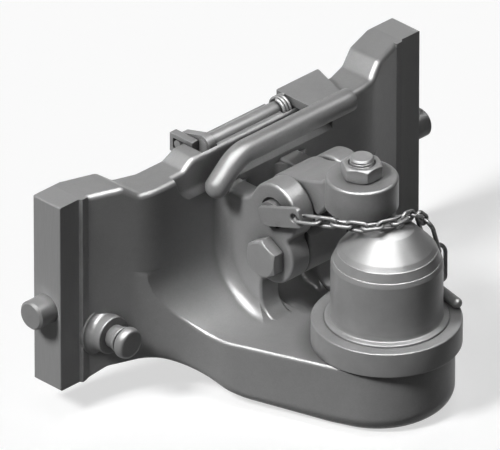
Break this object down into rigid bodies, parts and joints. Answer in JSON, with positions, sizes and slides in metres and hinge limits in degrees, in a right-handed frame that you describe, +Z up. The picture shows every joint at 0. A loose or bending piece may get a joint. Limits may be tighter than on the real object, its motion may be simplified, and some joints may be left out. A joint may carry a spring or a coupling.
{
  "type": "tractor tow hitch",
  "caption": "Slide-in tractor tow hitch: a casting held by two rails carries a domed tow pin, a swinging hold-down arm and a lifting handle that draws in its side bolts",
  "frame": {"origin": "midway between the two rails, on their back plane and at their lower edge", "axes": "+X to the hitch's right, -Y forward towards the tow pin, +Z up along the rails"},
  "size_m": [0.359, 0.2061, 0.173],
  "materials": {
    "casting": "smooth grey-painted casting",
    "arm_casting": "smooth grey-painted casting",
    "machined_steel": "turned steel, grey",
    "plate_steel": "grey-painted flat steel",
    "handle_steel": "grey-painted round bar",
    "fastener_steel": "plain steel fasteners",
    "spring_steel": "bright spring wire",
    "chain_steel": "plain steel wire"
  },
  "bodies": {
    "hitch": {"hitch_body": "casting", "tow_pin": "machined_steel", "wear_ring": "machined_steel", "tow_pin_retainer": "machined_steel", "retainer_screws": "fastener_steel", "guide_strap_upper": "plate_steel", "guide_strap_lower": "plate_steel", "guide_screws": "fastener_steel", "pivot_bolt": "fastener_steel", "pivot_nut": "fastener_steel", "pivot_washer": "fastener_steel", "safety_chain": "chain_steel", "chain_ring": "chain_steel", "lynch_pin": "chain_steel", "lynch_bail": "chain_steel", "holder_stud": "machined_steel"},
    "handle": {"handle_shaft": "machined_steel", "crank_arm": "plate_steel", "crank_pin": "machined_steel", "lever_plate": "plate_steel", "handle_bar": "handle_steel", "handle_spring": "spring_steel"},
    "cam": {"cam_plate": "plate_steel"},
    "bolt_left": {"side_bolt_left": "machined_steel", "follower_pin_left": "machined_steel"},
    "bolt_right": {"side_bolt_right": "machined_steel", "follower_pin_right": "machined_steel"},
    "arm": {"hold_down_arm": "arm_casting", "hold_down_screw": "fastener_steel", "hold_down_nut": "fastener_steel", "hold_down_pad": "machined_steel"},
    "lock": {"lock_pin": "machined_steel", "lock_pin_tab": "plate_steel"}
  },
  "joints": [
    {"name": "handle_lift", "type": "hinge", "parent": "hitch", "child": "handle", "pos_m": [0, -0.026, 0.1316], "axis": [-1, 0, 0], "range_deg": [0, 45], "stiffness_Nm_per_rad": 0.6, "springref_deg": -28.65, "deforming": ["handle_spring"]},
    {"name": "cam_slide", "type": "slide", "parent": "hitch", "child": "cam", "axis": [0, 0, -1], "range_m": [0, 0.0104]},
    {"name": "bolt_slide_left", "type": "slide", "parent": "hitch", "child": "bolt_left", "axis": [1, 0, 0], "range_m": [0, 0.0156]},
    {"name": "bolt_slide_right", "type": "slide", "parent": "hitch", "child": "bolt_right", "axis": [-1, 0, 0], "range_m": [0, 0.0156]},
    {"name": "arm_swing", "type": "hinge", "parent": "hitch", "child": "arm", "pos_m": [0, -0.0855, 0.0735], "axis": [-1, 0, 0], "range_deg": [0, 38]},
    {"name": "lock_pin_pull", "type": "slide", "parent": "hitch", "child": "lock", "axis": [-1, 0, 0], "range_m": [0, 0.088], "deforming": ["safety_chain"]}
  ],
  "couplings": [
    {"joint": "cam_slide", "follows": "handle_lift", "m_per_rad": 0.013114},
    {"joint": "bolt_slide_left", "follows": "handle_lift", "m_per_rad": 0.019735},
    {"joint": "bolt_slide_right", "follows": "handle_lift", "m_per_rad": 0.019735}
  ]
}
